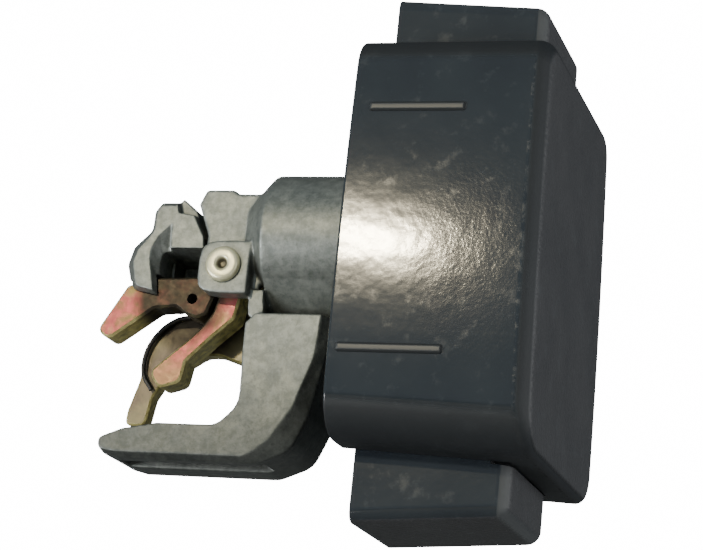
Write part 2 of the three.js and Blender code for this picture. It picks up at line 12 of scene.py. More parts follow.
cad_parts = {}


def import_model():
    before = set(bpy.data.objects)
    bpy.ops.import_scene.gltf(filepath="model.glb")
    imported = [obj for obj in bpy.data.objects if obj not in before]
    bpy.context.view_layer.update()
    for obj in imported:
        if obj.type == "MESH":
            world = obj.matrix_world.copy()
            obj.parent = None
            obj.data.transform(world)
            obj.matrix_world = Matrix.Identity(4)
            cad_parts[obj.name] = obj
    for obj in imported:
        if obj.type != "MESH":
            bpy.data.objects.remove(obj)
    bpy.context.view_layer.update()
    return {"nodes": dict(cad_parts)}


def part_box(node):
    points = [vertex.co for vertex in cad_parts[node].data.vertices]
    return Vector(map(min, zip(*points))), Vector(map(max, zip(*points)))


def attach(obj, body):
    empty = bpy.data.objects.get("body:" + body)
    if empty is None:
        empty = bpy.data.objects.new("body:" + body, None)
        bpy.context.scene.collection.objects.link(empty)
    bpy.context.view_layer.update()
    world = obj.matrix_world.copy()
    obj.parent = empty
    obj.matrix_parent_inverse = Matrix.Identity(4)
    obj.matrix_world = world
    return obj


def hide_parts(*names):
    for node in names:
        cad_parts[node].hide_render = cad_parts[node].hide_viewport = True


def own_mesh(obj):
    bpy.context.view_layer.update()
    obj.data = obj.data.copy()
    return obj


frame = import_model()

MM = 0.001
X, Y, Z = 0, 1, 2
PAD_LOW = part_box("push_pad")[0]
BAR_LOW, BAR_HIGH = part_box("guide_bar")


def mm(x, y, z):
    """A point of the lock in millimetres, as a point of the frame in metres.

    The lock's own x starts at the rear plane of the pad.
    """
    return Vector((PAD_LOW.x + x * MM, y * MM, z * MM))


BARREL_AXIS = mm(0, 0, 0)
RIVET = mm(-22, 0, -5.8)
PAWL_PIN = mm(-23.6, 0, 3.0)
FINGER_ROOT = mm(-29.5, 0, -10.0)      # where the thick claw's finger starts, inside the lever's casting; a painted shadow on the claws is centred here
PAD_MIDDLE = mm(5, -22.9, -3.2)        # on the pad's near side
TRAVEL = 2.5                           # how far the pad goes in

# ------------------------------------------------------------------ mesh helpers

SHARP = math.radians(40)               # an edge that turns by more is drawn sharp
BEVELLED = math.radians(32)            # an edge that turns by more is rounded
FLAT = math.radians(0.8)               # faces that turn by less are merged
WELD = 0.004 * MM


def new_object(name, mesh, smooth_angle=SHARP):
    piece = bpy.data.objects.new(name, mesh)
    bpy.context.scene.collection.objects.link(piece)
    mesh.shade_smooth()
    if smooth_angle:
        mesh.set_sharp_from_angle(angle=smooth_angle)
    return piece


def object_from_bmesh(name, bm, smooth_angle=SHARP):
    bmesh.ops.recalc_face_normals(bm, faces=bm.faces)
    mesh = bpy.data.meshes.new(name)
    bm.to_mesh(mesh)
    bm.free()
    return new_object(name, mesh, smooth_angle)


def apply_modifiers(piece):
    """Bakes a piece's modifiers into its mesh."""
    graph = bpy.context.evaluated_depsgraph_get()
    baked = bpy.data.meshes.new_from_object(piece.evaluated_get(graph))
    piece.modifiers.clear()
    piece.data = baked


def give_material(piece, material):
    """Makes the material the only one on the piece."""
    piece.data.materials.clear()
    piece.data.materials.append(material)


def even_shading(piece, sharp_degrees=50):
    """Smooth shading in which large flat faces stay flat and only the roundings between them turn."""
    piece.data.shade_smooth()
    piece.data.set_sharp_from_angle(angle=math.radians(sharp_degrees))
    weighted = piece.modifiers.new("even_shading", "WEIGHTED_NORMAL")
    weighted.keep_sharp = True
    apply_modifiers(piece)


def stand_in(piece, node, body):
    """Hides the CAD node that a piece stands for, and attaches the piece to the body it rides with."""
    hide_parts(node)
    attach(piece, body)


def bare_copy(node):
    """The CAD node's shape as a new piece: welded, with flat areas merged into single faces."""
    source = frame["nodes"][node].data
    bm = bmesh.new()
    verts = [bm.verts.new(v.co) for v in source.vertices]
    for polygon in source.polygons:
        corners = [verts[i] for i in polygon.vertices]
        if len(set(corners)) == len(corners):
            try:
                bm.faces.new(corners)
            except ValueError:                      # the same face twice
                pass
    bmesh.ops.remove_doubles(bm, verts=bm.verts, dist=WELD)
    bmesh.ops.dissolve_limit(
        bm, angle_limit=FLAT, verts=bm.verts, edges=bm.edges, use_dissolve_boundaries=False,
    )
    return object_from_bmesh(f"{node}_fine", bm)


def edged(node, body, material, width_mm, segments):
    """A machined, stamped or moulded piece: the CAD shape with its sharp edges rounded."""
    piece = bare_copy(node)
    bevel = piece.modifiers.new("round_edges", "BEVEL")
    bevel.width = width_mm * MM
    bevel.segments = segments
    bevel.limit_method = "ANGLE"
    bevel.angle_limit = BEVELLED
    apply_modifiers(piece)
    even_shading(piece)
    give_material(piece, material)
    stand_in(piece, node, body)


def cast(node, body, material, voxel_mm, rounds):
    """A casting: the CAD shape remeshed and smoothed, so that every edge and inner corner is soft."""
    piece = bare_copy(node)
    remesh = piece.modifiers.new("remesh", "REMESH")
    remesh.mode = "VOXEL"
    remesh.voxel_size = voxel_mm * MM
    remesh.use_smooth_shade = True
    smooth = piece.modifiers.new("soften", "SMOOTH")
    smooth.factor = 0.5
    smooth.iterations = rounds
    apply_modifiers(piece)
    piece.data.shade_smooth()
    give_material(piece, material)
    stand_in(piece, node, body)


def skin_rings(bm, rings):
    """Bridges rings of as many points each, given as lists of vertices."""
    for lower, upper in zip(rings, rings[1:]):
        count = len(lower)
        for i in range(count):
            j = (i + 1) % count
            bm.faces.new((lower[i], lower[j], upper[j], upper[i]))


def rounded_box(low, high, radius=0.0, segments=1):
    """A box from low to high with round edges, as a tool for boolean()."""
    bm = bmesh.new()
    bmesh.ops.create_cube(bm, size=1.0)
    size = Vector(high) - Vector(low)
    for vert in bm.verts:
        vert.co = Vector(low) + Vector(((vert.co[i] + 0.5) * size[i] for i in range(3)))
    if radius:
        bmesh.ops.bevel(
            bm, geom=bm.edges[:] + bm.verts[:], offset=radius, segments=segments, profile=0.5, affect="EDGES",
        )
    return object_from_bmesh("tool", bm, None)


def boolean(piece, tools, operation):
    """Cuts tools out of a piece, or joins them to it, and removes the tools."""
    for tool in tools:
        step = piece.modifiers.new(operation.lower(), "BOOLEAN")
        step.operation = operation
        step.object = tool
        step.solver = "EXACT"
    apply_modifiers(piece)
    for tool in tools:
        bpy.data.objects.remove(tool, do_unlink=True)


def turned(name, profile, point, axis, sides):
    """A solid turned from (station, radius) pairs in millimetres along an axis through the point.

    The profile starts and ends on the axis, or goes round a ring and back to its first pair.
    """
    bm = bmesh.new()
    turns = [2 * math.pi * i / sides for i in range(sides)]
    rings = []
    for station_mm, radius_mm in profile:
        station, radius = station_mm * MM, radius_mm * MM
        if radius:
            circle = [(station, radius * math.cos(turn), radius * math.sin(turn)) for turn in turns]
        else:
            circle = [(station, 0, 0)]
        rings.append([bm.verts.new(place) for place in circle])
    for lower, upper in zip(rings, rings[1:]):
        for i in range(sides):
            j = (i + 1) % sides
            if len(lower) == 1:
                bm.faces.new((lower[0], upper[j], upper[i]))
            elif len(upper) == 1:
                bm.faces.new((lower[i], lower[j], upper[0]))
            else:
                bm.faces.new((lower[i], lower[j], upper[j], upper[i]))
    if axis == "Y":
        bmesh.ops.rotate(bm, verts=bm.verts, matrix=Matrix.Rotation(math.radians(90), 3, "Z"))
    bmesh.ops.translate(bm, verts=bm.verts, vec=point)
    return object_from_bmesh(name, bm)


def lathed(node, body, material, axis, point, profile):
    """A turned piece that stands for a CAD node."""
    piece = turned(f"{node}_fine", profile, point, axis, 96)
    give_material(piece, material)
    even_shading(piece, 35)
    stand_in(piece, node, body)


def ring_profile(start, end, inner, outer, edge):
    """Profile of a plain ring with small chamfers, going round and back to its first point."""
    return [
        (start, inner), (start, outer - edge), (start + edge, outer), (end - edge, outer),
        (end, outer - edge), (end, inner), (start, inner),
    ]


def wire(name, points, radius, material):
    """A round wire along the points."""
    curve = bpy.data.curves.new(name, "CURVE")
    curve.dimensions = "3D"
    curve.bevel_depth = radius
    curve.bevel_resolution = 4
    curve.use_fill_caps = True
    spline = curve.splines.new("POLY")
    spline.points.add(len(points) - 1)
    for place, point in zip(spline.points, points):
        place.co = (*point, 1)
    holder = bpy.data.objects.new(f"{name}_path", curve)
    bpy.context.scene.collection.objects.link(holder)
    mesh = bpy.data.meshes.new_from_object(holder.evaluated_get(bpy.context.evaluated_depsgraph_get()))
    bpy.data.objects.remove(holder, do_unlink=True)
    bpy.data.curves.remove(curve)
    piece = new_object(name, mesh, None)
    give_material(piece, material)
    return piece


# ------------------------------------------------------------------ material helpers


class Graph:
    """A material's node tree, with one short call for each kind of node used here."""

    def __init__(self, name):
        self.material = bpy.data.materials.new(name)
        self.material.use_nodes = True
        self.tree = self.material.node_tree
        self.shader = self.tree.nodes["Principled BSDF"]
        self.coords = self.tree.nodes.new("ShaderNodeTexCoord")

    def node(self, kind, inputs=None, **settings):
        made = self.tree.nodes.new(kind)
        for key, value in settings.items():
            setattr(made, key, value)
        for key, value in (inputs or {}).items():
            self.feed(value, made.inputs[key])
        return made

    def feed(self, value, socket):
        if isinstance(value, bpy.types.NodeSocket):
            self.tree.links.new(value, socket)
        else:
            socket.default_value = value

    def noise(self, size_mm, detail, roughness, distortion=0.0):
        """Clouds of about the given size, mostly between 0.3 and 0.7."""
        inputs = {
            "Vector": self.coords.outputs["Object"], "Scale": 1.0 / (size_mm * MM), "Detail": detail,
            "Roughness": roughness, "Distortion": distortion,
        }
        return self.node("ShaderNodeTexNoise", inputs).outputs["Fac"]

    def cells(self, size_mm):
        inputs = {"Vector": self.coords.outputs["Object"], "Scale": 1.0 / (size_mm * MM)}
        return self.node("ShaderNodeTexVoronoi", inputs).outputs["Distance"]

    def span(self, value, low, high, out_low=0.0, out_high=1.0):
        """Goes smoothly from out_low to out_high while the value goes from low to high."""
        inputs = {"Value": value, "From Min": low, "From Max": high, "To Min": out_low, "To Max": out_high}
        return self.node("ShaderNodeMapRange", inputs, interpolation_type="SMOOTHSTEP").outputs[0]

    def math(self, operation, a, b=0.0):
        return self.node("ShaderNodeMath", {0: a, 1: b}, operation=operation).outputs[0]

    def times(self, a, b):
        return self.math("MULTIPLY", a, b)

    def plus(self, a, b):
        return self.math("ADD", a, b)

    def larger(self, a, b):
        return self.math("MAXIMUM", a, b)

    def size_of(self, value):
        """The value without its sign."""
        return self.math("ABSOLUTE", value)

    def mix(self, share, a, b):
        """Colour a where the share is zero, and colour b where it is one."""
        made = self.node("ShaderNodeMix", data_type="RGBA")
        self.feed(share, made.inputs["Factor"])
        self.feed(a, made.inputs[6])
        self.feed(b, made.inputs[7])
        return made.outputs[2]

    def blend(self, share, a, b):
        """Number a where the share is zero, and number b where it is one."""
        return self.node("ShaderNodeMix", {"Factor": share, 2: a, 3: b}).outputs[0]

    def shade(self, colour, level):
        """A colour darkened to the given level, from zero to one."""
        made = self.node("ShaderNodeVectorMath", {0: colour, "Scale": level}, operation="SCALE")
        return made.outputs[0]

    def ramp(self, value, *stops):
        made = self.node("ShaderNodeValToRGB", {"Fac": value})
        elements = made.color_ramp.elements
        while len(elements) < len(stops):
            elements.new(0.5)
        for element, (place, color) in zip(elements, stops):
            element.position = place
            element.color = color
        return made.outputs["Color"]

    def place(self, axis):
        """One coordinate of the point on the surface, in metres of the frame."""
        return self.node("ShaderNodeSeparateXYZ", {0: self.coords.outputs["Object"]}).outputs[axis]

    def facing(self, axis):
        """How far the surface looks along one axis, from minus one to one."""
        return self.node("ShaderNodeSeparateXYZ", {0: self.coords.outputs["Normal"]}).outputs[axis]

    def hemmed_in(self, reach_mm):
        """One deep in a corner or a narrow gap, zero on open faces."""
        made = self.node("ShaderNodeAmbientOcclusion", {"Distance": reach_mm * MM}, samples=8)
        return self.span(made.outputs["AO"], 0.0, 0.75, 1.0, 0.0)

    def close_to(self, point, near_mm, far_mm):
        """One close to an axis along Y through the point and zero far from it."""
        inputs = {0: self.coords.outputs["Object"], 1: tuple(point)}
        offset = self.node("ShaderNodeVectorMath", inputs, operation="SUBTRACT")
        flat = self.node("ShaderNodeVectorMath", {0: offset.outputs[0], 1: (1, 0, 1)}, operation="MULTIPLY")
        length = self.node("ShaderNodeVectorMath", {0: flat.outputs[0]}, operation="LENGTH")
        return self.span(length.outputs["Value"], near_mm * MM, far_mm * MM, 1.0, 0.0)

    def bump(self, height, depth_mm, strength, normal=None):
        inputs = {"Height": height, "Distance": depth_mm * MM, "Strength": strength}
        if normal is not None:
            inputs["Normal"] = normal
        return self.node("ShaderNodeBump", inputs).outputs[0]

    def finish(self, **sockets):
        for key, value in sockets.items():
            self.feed(value, self.shader.inputs[key.replace("_", " ")])
        return self.material


def grey(level):
    return (level, level, level, 1)


# ------------------------------------------------------------------ materials

ARM_UNDERSIDE, ARM_TOP = -34 * MM, -12 * MM         # the hook arm's heights, between which painted shade darkens it towards the underside
PRONG_FOOT, PRONG_TOP = -22 * MM, -17.5 * MM        # heights between which the claws' pink film fades
RIB_FOOT, RIB_CREST = 22.64 * MM, 22.74 * MM        # distances from the pad's middle plane
RIBS_MIDDLE = -4.05 * MM                            # height halfway between the pad's two ribs
RIBS_FROM, RIBS_CLEAR = 14.5 * MM, 15.5 * MM        # how far above and below it the ribs' wear starts
SPECKLE_FROM, SPECKLE_FULL = -18 * MM, -4 * MM      # the plastic's skin gets rougher towards the front


def zinc_material():
    """Die-cast zinc: mottled grey, with painted shade where the surface is hemmed in.

    Painted shade on faces that look out of the panel, and painted shade that darkens the arm towards its
    underside.
    """
    g = Graph("zinc_casting")
    clouds = g.noise(4.5, 4.0, 0.62)
    specks = g.noise(0.55, 3.0, 0.6)
    flow = g.noise(1.4, 6.0, 0.74, distortion=0.15)
    base = g.ramp(
        clouds, (0.30, (0.19, 0.213, 0.202, 1)), (0.50, (0.235, 0.26, 0.245, 1)),
        (0.72, (0.29, 0.315, 0.295, 1)),
    )
    veins = g.ramp(flow, (0.40, (0.15, 0.165, 0.157, 1)), (0.62, (0.42, 0.445, 0.42, 1)))
    colour = g.mix(0.40, base, veins)
    colour = g.mix(g.times(g.span(specks, 0.56, 0.74), 0.35), colour, (0.12, 0.13, 0.12, 1))
    # painted shade: faces that look out of the panel are darkened
    shade_facing_out = g.span(g.facing(X), 0.22, 0.55)
    colour = g.mix(g.times(shade_facing_out, 0.3), colour, (0.040, 0.041, 0.038, 1))
    # painted shade: darker where the surface is hemmed in by corners and narrow gaps
    colour = g.mix(g.times(g.hemmed_in(3.5), 0.8), colour, (0.045, 0.044, 0.037, 1))
    # painted shade: the casting darkens towards the arm's underside, by height
    colour = g.shade(colour, g.span(g.place(Z), ARM_UNDERSIDE, ARM_TOP, 0.45, 1.0))
    rough = g.span(clouds, 0.3, 0.7, 0.42, 0.52)
    skin = g.bump(specks, 0.05, 0.5)
    dimples = g.bump(flow, 0.10, 0.45, normal=skin)
    return g.finish(Base_Color=colour, Metallic=0.75, Roughness=rough, Normal=dimples)


def plastic_material(name, grain_mask, side_roughness, rubbed_mask, dull_shade_mask=None):
    """Dark blue-grey moulding, smooth on its sides, with masks from zero to one for the rest.

    There is leather grain where grain_mask(g) is one, a rubbed lighter grey where rubbed_mask(g)
    is one, and a rougher skin darkened by painted shade where the last mask, if given, is one.
    """
    g = Graph(name)
    grain, rubbed = grain_mask(g), rubbed_mask(g)
    tone = g.noise(9.0, 2.0, 0.5)
    side = g.ramp(tone, (0.3, (0.020, 0.026, 0.033, 1)), (0.7, (0.027, 0.034, 0.041, 1)))
    front = g.ramp(tone, (0.3, (0.040, 0.042, 0.046, 1)), (0.7, (0.050, 0.052, 0.056, 1)))
    colour = g.mix(grain, side, front)
    haze = g.span(g.noise(3.2, 4.0, 0.65), 0.55, 0.72)
    colour = g.mix(g.times(haze, 0.16), colour, (0.10, 0.115, 0.125, 1))
    colour = g.mix(rubbed, colour, (0.060, 0.066, 0.070, 1))
    smooth = g.plus(side_roughness, g.times(haze, 0.04))
    smooth = g.plus(smooth, g.times(rubbed, 0.50))
    if dull_shade_mask:
        dull = dull_shade_mask(g)
        # painted shade: a darker colour on the masked roundings, besides their rougher skin
        colour = g.mix(g.times(dull, 0.7), colour, (0.004, 0.006, 0.008, 1))
        smooth = g.plus(smooth, g.times(dull, 0.55))
    rough = g.blend(grain, smooth, 0.60)
    leather = g.plus(g.times(g.cells(0.75), 0.7), g.noise(0.45, 3.0, 0.65))
    speckle = g.times(g.noise(0.5, 2.0, 0.6), g.span(g.place(X), SPECKLE_FROM, SPECKLE_FULL, 0.1, 1.0))
    normal = g.bump(g.noise(2.6, 2.0, 0.5), 0.020, 0.8)
    normal = g.bump(speckle, 0.009, 0.8, normal=normal)
    normal = g.bump(g.times(leather, grain), 0.16, 1.0, normal=normal)
    return g.finish(Base_Color=colour, Roughness=rough, Normal=normal)


def looking_out(g):
    """One on the pad's front face, which looks out of the panel."""
    return g.span(g.facing(X), 0.80, 0.97)


def looking_out_or_up(g):
    """One on the bar's faces that look out of the panel, up or down."""
    outward = g.span(g.facing(X), 0.75, 0.97)
    ends = g.span(g.size_of(g.facing(Z)), 0.75, 0.97)
    return g.larger(outward, ends)


def turning_front(g):
    """One on the roundings between a piece's sides and its front, zero on flat faces."""
    outward = g.facing(X)
    return g.times(g.span(outward, 0.10, 0.35), g.span(outward, 0.80, 0.96, 1.0, 0.0))


def pad_wear(g):
    """The raised ribs on the pad's sides, and a broken line where its front edge starts to turn."""
    raised = g.span(g.size_of(g.place(Y)), RIB_FOOT, RIB_CREST)
    away = g.size_of(g.plus(g.place(Z), -RIBS_MIDDLE))
    ribs = g.times(raised, g.span(away, RIBS_FROM, RIBS_CLEAR))
    outward = g.facing(X)
    line = g.times(g.span(outward, 0.01, 0.06), g.span(outward, 0.16, 0.26, 1.0, 0.0))
    broken = g.span(g.noise(1.6, 4.0, 0.7), 0.46, 0.66)
    return g.larger(g.times(ribs, 0.6), g.times(g.times(line, broken), 0.5))


def pad_roundings_dull_shaded(g):
    """The pad's front rounding and the roundings at its top and bottom ends, which get a rougher skin and
    painted shade.
    """
    ends = g.span(g.size_of(g.facing(Z)), 0.12, 0.45)
    return g.larger(turning_front(g), ends)


def yellow_zinc_material(name, pink):
    """Yellow passivated plating: olive yellow edges, and flat faces that turn pink in patches.

    The pink is left out where pink is zero. A painted shadow darkens the plating round the finger's root, and
    painted shade darkens its corners.
    """
    g = Graph(name)
    patch = g.noise(5.0, 2.0, 0.5, distortion=0.6)
    streak = g.noise(1.1, 4.0, 0.6, distortion=0.5)
    sheen = g.plus(g.times(patch, 0.8), g.times(streak, 0.2))
    film = g.ramp(
        sheen, (0.38, (0.20, 0.15, 0.06, 1)), (0.46, (0.34, 0.15, 0.10, 1)), (0.55, (0.42, 0.100, 0.105, 1)),
        (0.66, (0.25, 0.16, 0.075, 1)),
    )
    plain = g.ramp(sheen, (0.38, (0.12, 0.10, 0.08, 1)), (0.60, (0.20, 0.18, 0.115, 1)))
    lower = g.span(g.place(Z), PRONG_FOOT, PRONG_TOP, 0.75, 0.0)
    film = g.mix(lower, film, (0.30, 0.20, 0.10, 1))
    flats = g.mix(pink, plain, film)
    edge = g.ramp(streak, (0.35, (0.34, 0.30, 0.11, 1)), (0.65, (0.66, 0.60, 0.26, 1)))
    flat = g.span(g.size_of(g.facing(Y)), 0.90, 0.995)
    colour = g.mix(flat, edge, flats)
    # painted shadow, in patches, round the finger's root
    patches = g.span(g.noise(2.4, 3.0, 0.6), 0.25, 0.6, 0.88, 1.0)
    shadow_round_root = g.times(g.close_to(FINGER_ROOT, 5.6, 8.4), patches)
    colour = g.mix(shadow_round_root, colour, (0.035, 0.029, 0.021, 1))
    # painted shade: darker where the surface is hemmed in by corners and narrow gaps
    colour = g.mix(g.times(g.hemmed_in(2.5), 0.4), colour, (0.050, 0.040, 0.030, 1))
    rough = g.span(streak, 0.3, 0.7, 0.34, 0.48)
    normal = g.bump(g.noise(0.5, 3.0, 0.6), 0.03, 0.4)
    metallic = g.span(flat, 0.0, 1.0, 0.45, 0.8)
    return g.finish(Base_Color=colour, Metallic=metallic, Roughness=rough, Normal=normal)


def plated_material(name, dark, light, metallic, roughness):
    """Plated or blackened metal, with painted shade in its corners and in the dimple in the middle of the
    rivet's head.
    """
    g = Graph(name)
    tone = g.noise(1.2, 3.0, 0.55)
    colour = g.ramp(tone, (0.3, dark), (0.7, light))
    # painted shade: darker where the surface is hemmed in by corners and narrow gaps
    colour = g.mix(g.times(g.hemmed_in(1.2), 0.8), colour, (0.05, 0.042, 0.03, 1))
    # painted shade: darker in the dimple in the middle of the rivet's head
    colour = g.mix(g.close_to(RIVET, 0.6, 1.05), colour, (0.13, 0.12, 0.08, 1))
    rough = g.span(tone, 0.3, 0.7, roughness - 0.05, roughness + 0.07)
    normal = g.bump(g.noise(0.35, 3.0, 0.6), 0.02, 0.4)
    return g.finish(Base_Color=colour, Metallic=metallic, Roughness=rough, Normal=normal)


def rubber_material():
    g = Graph("rubber_black")
    tone = g.noise(0.8, 3.0, 0.6)
    colour = g.ramp(tone, (0.3, grey(0.012)), (0.7, grey(0.026)))
    normal = g.bump(tone, 0.03, 0.5)
    return g.finish(Base_Color=colour, Roughness=0.82, Normal=normal)


ZINC = zinc_material()
PAD_PLASTIC = plastic_material("pad_plastic", looking_out, 0.095, pad_wear, pad_roundings_dull_shaded)
BAR_PLASTIC = plastic_material("bar_plastic", looking_out_or_up, 0.10, turning_front)
YELLOW = yellow_zinc_material("yellow_zinc", 1.0)
YELLOW_DULL = yellow_zinc_material("yellow_zinc_dull", 0.0)
RIVET_ZINC = plated_material("rivet_zinc", (0.70, 0.67, 0.42, 1), (0.86, 0.84, 0.60, 1), 0.55, 0.34)
BRIGHT = plated_material("plated_bright", (0.50, 0.51, 0.50, 1), (0.70, 0.71, 0.69, 1), 0.95, 0.30)
SPRING_STEEL = plated_material("spring_steel", (0.36, 0.37, 0.37, 1), (0.50, 0.51, 0.50, 1), 0.95, 0.34)
BLACK_WIRE = plated_material("spring_black", grey(0.012), grey(0.030), 0.4, 0.38)
RUBBER = rubber_material()

# ------------------------------------------------------------------ push pad

PAD_SIZES_MM = {
    "depth": 28.2, "half": 22.9, "top": 24.6, "bottom": -33.2, "lean": 1.1, "sag": 1.3,
    "edge": 2.6, "low_edge": 1.5, "corner": 4.6, "low_corner": 6.0, "least_corner": 0.6,
    "crown": 1.0, "dome": 0.3, "lip": 0.3, "wall": 2.2, "front_wall": 2.4, "mouth": 0.8,
}
PAD = {name: size * MM for name, size in PAD_SIZES_MM.items()}
PAD_FRONT = PAD_LOW.x + PAD["depth"]
LIP_RINGS = ((0, 1), (0.3, 0.35), (1, 0), (1.3, 0))     # shares of the lip: how far along, how far in
CORNER_STEPS, END_STEPS, SIDE_STEPS = 14, 6, 12         # round a corner, along an end and along a side
DEPTH_STEPS, EDGE_STEPS, DOME_STEPS = 8, 12, 7          # along the walls, round the edge, over the dome

NOTCH = {"seat": 21.5, "gap": 0.3, "reach": 4}          # the room for a tab in the wall of the pad
RIBS = ((13.3, 2.6, 16.6), (-21.4, 1.2, 16.4))          # height, start and end of the ribs on a side
RIB = {"half_width": 0.72, "depth": 2, "edge": 0.5}
GUSSETS = (12, -24)                                     # heights of the guide ribs inside the pad
GUSSET = {"half_width": 3, "half_depth": 0.8, "off_bar": 1.1, "start": 1, "off_front": 1.2, "edge": 0.2}
HUB = [(27.0, 0), (27.0, 5.0), (19.0, 5.0), (18.8, 4.8), (18.8, 2.7), (19.8, 2.7), (19.8, 0)]


def pad_section(inset, low_inset):
    """Points round one section of the pad: a rectangle with round corners and crowned sides."""
    half = PAD["half"] - inset
    low, high = PAD["bottom"] + low_inset, PAD["top"] - inset
    middle, reach = (low + high) / 2, (high - low) / 2
    upper = max(PAD["corner"] - inset, PAD["least_corner"])
    lower = max(PAD["low_corner"] - inset, PAD["least_corner"])
    points = []

    def add(y, z):
        """Adds a point, drawn in by the crown at the pad's ends and by nothing halfway between."""
        drawn_in = PAD["crown"] * ((z - middle) / reach) ** 2
        points.append((y - math.copysign(drawn_in, y), z))

    for side, end, start in ((1, -1, -90), (1, 1, 0), (-1, 1, 90), (-1, -1, 180)):
        corner, end_z = (upper, high) if end > 0 else (lower, low)
        for i in range(CORNER_STEPS + 1):
            angle = math.radians(start + 90 * i / CORNER_STEPS)
            y = side * (half - corner) + corner * math.cos(angle)
            z = end_z - end * corner + corner * math.sin(angle)
            add(y, z)
        if side == end:                             # along the top or bottom wall
            for i in range(1, END_STEPS):
                add(side * (half - corner) * (1 - 2 * i / END_STEPS), end_z)
        else:                                       # along a crowned side wall
            span = (low + lower, high - upper)
            from_z, to_z = span if side > 0 else reversed(span)
            for i in range(1, SIDE_STEPS):
                add(side * half, from_z + (to_z - from_z) * (i / SIDE_STEPS))
    return points


def cap_crowned(bm, ring, x, dome):
    """Closes a ring with shrinking rings that rise to a low dome."""
    centre_y = sum(v.co.y for v in ring) / len(ring)
    centre_z = sum(v.co.z for v in ring) / len(ring)
    rings = [ring]
    for step in range(1, DOME_STEPS):
        share = 1 - step / DOME_STEPS
        rise = dome * (1 - share ** 2)
        places = [
            (x + rise, centre_y + (v.co.y - centre_y) * share, centre_z + (v.co.z - centre_z) * share)
            for v in ring
        ]
        rings.append([bm.verts.new(place) for place in places])
    skin_rings(bm, rings)
    tip = bm.verts.new((x + dome, centre_y, centre_z))
    last = rings[-1]
    for i, vert in enumerate(last):
        bm.faces.new((vert, last[(i + 1) % len(last)], tip))


def lean(bm):
    """Leans the pad's front out and slopes its underside down, both towards the lower front."""
    top, bottom = PAD["top"], PAD["bottom"]
    middle = (top + bottom) / 2
    for vert in bm.verts:
        outward = max(vert.co.x - PAD_LOW.x, 0) / PAD["depth"]
        below = (top - vert.co.z) / (top - bottom)
        low = max(middle - vert.co.z, 0) / (middle - bottom)
        vert.co.x += PAD["lean"] * outward * below
        vert.co.z -= PAD["sag"] * outward * low


def pad_shell():
    """The pad's wall: crowned sides, a rounded and slightly domed front, and an open back."""
    rear, face = PAD_LOW.x, PAD_FRONT - PAD["dome"]
    edge, low_edge, lip, wall = PAD["edge"], PAD["low_edge"], PAD["lip"], PAD["wall"]
    bm = bmesh.new()

    def ring(x, inset, low_inset=None):
        section = pad_section(inset, inset if low_inset is None else low_inset)
        return [bm.verts.new((x, y, z)) for y, z in section]

    outside = [ring(rear + lip * along, lip * inward) for along, inward in LIP_RINGS]
    straight = face - edge - rear - lip
    outside += [ring(rear + lip + straight * i / DEPTH_STEPS, 0) for i in range(1, DEPTH_STEPS)]
    for i in range(EDGE_STEPS + 1):
        angle = math.radians(90 * i / EDGE_STEPS)
        x = face - edge + edge * math.sin(angle)
        into_low_edge = max(x - (face - low_edge), 0)
        low_inset = low_edge - math.sqrt(max(low_edge ** 2 - into_low_edge ** 2, 0))
        outside.append(ring(x, edge * (1 - math.cos(angle)), low_inset))
    inside = [
        ring(rear + lip, wall - lip), ring(rear + PAD["mouth"], wall),
        ring(PAD_FRONT - PAD["front_wall"], wall),
    ]
    skin_rings(bm, outside)
    cap_crowned(bm, outside[-1], face, PAD["dome"])
    skin_rings(bm, [inside[0], outside[0]])
    skin_rings(bm, inside[::-1])
    bm.faces.new(inside[-1])
    lean(bm)
    return object_from_bmesh("push_pad_fine", bm)


def pad_notches():
    """Tools that cut the room for the guide bar's tabs out of the pad's bottom and top walls."""
    gap, reach = NOTCH["gap"] * MM, NOTCH["reach"] * MM
    back = PAD_LOW.x - 1 * MM
    front = PAD_LOW.x + (NOTCH["seat"] + TRAVEL + NOTCH["gap"]) * MM
    return [
        rounded_box((back, BAR_LOW.y - gap, z - reach), (front, BAR_HIGH.y + gap, z + reach))
        for z in (PAD["bottom"], PAD["top"])
    ]


def pad_ribs(side):
    """The two raised ribs on one side of the pad, each sunk into the wall."""
    outer = side * PAD["half"]
    inner = side * (PAD["half"] - RIB["depth"] * MM)
    low_y, high_y = sorted((inner, outer))
    half_width = RIB["half_width"]
    return [
        rounded_box(
            (PAD_LOW.x + start * MM, low_y, (z - half_width) * MM),
            (PAD_LOW.x + end * MM, high_y, (z + half_width) * MM), RIB["edge"] * MM, 5,
        )
        for z, start, end in RIBS
    ]


def pad_gussets(side):
    """The two guide ribs inside the pad that run along one side of the guide bar."""
    y = side * (BAR_HIGH.y + GUSSET["off_bar"] * MM)
    half_width, half_depth = GUSSET["half_width"], GUSSET["half_depth"] * MM
    back, front = PAD_LOW.x + GUSSET["start"] * MM, PAD_FRONT - GUSSET["off_front"] * MM
    return [
        rounded_box(
            (back, y - half_depth, (z - half_width) * MM),
            (front, y + half_depth, (z + half_width) * MM), GUSSET["edge"] * MM, 2,
        )
        for z in GUSSETS
    ]


def push_pad():
    """The moulded push pad, with its ribs, its guide ribs and the hub that takes the plunger's head."""
    piece = pad_shell()
    boolean(piece, pad_notches(), "DIFFERENCE")
    joins = []
    for side in (-1, 1):
        joins += pad_ribs(side) + pad_gussets(side)
    joins.append(turned("tool", HUB, BARREL_AXIS, "X", 48))
    boolean(piece, joins, "UNION")
    even_shading(piece, 42)
    give_material(piece, PAD_PLASTIC)
    stand_in(piece, "push_pad", "button")


# ------------------------------------------------------------------ return spring

SPRING = {"turns": 6, "radius": 4.6, "wire": 0.45, "start": -11.4, "end": 15.1, "steps_per_turn": 28}


